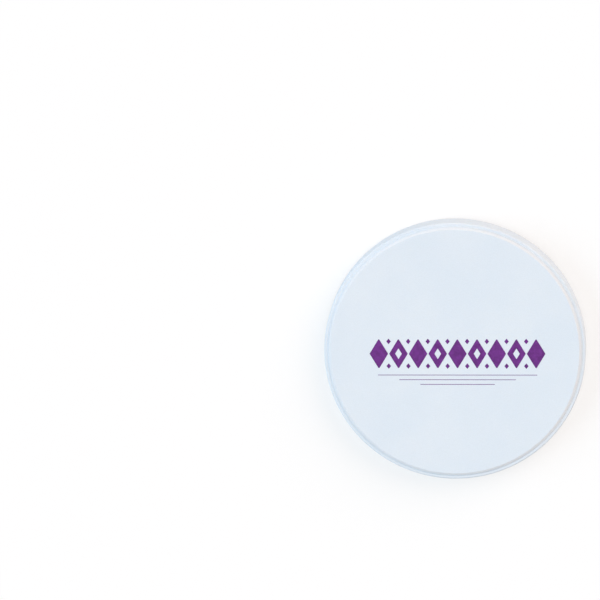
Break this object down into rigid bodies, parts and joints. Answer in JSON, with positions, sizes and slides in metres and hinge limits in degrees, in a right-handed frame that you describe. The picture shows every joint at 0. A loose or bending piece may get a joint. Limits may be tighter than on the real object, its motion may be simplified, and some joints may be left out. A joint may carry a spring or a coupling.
{
  "type": "dental milling disc",
  "caption": "Round blank of pre-sintered zirconia with a stepped clamping collar, for milling crowns and bridges.",
  "frame": {"origin": "centre of the back face, on the surface that the disc lies on", "axes": "+Z along the disc's axis, from the back face to the front face; +X towards the right of the print, +Y towards its top"},
  "size_m": [0.0984, 0.0984, 0.012],
  "materials": {
    "zirconia": "matte",
    "print_ink": "matte"
  },
  "bodies": {
    "root": {"milling_disc": "zirconia"}
  },
  "joints": []
}
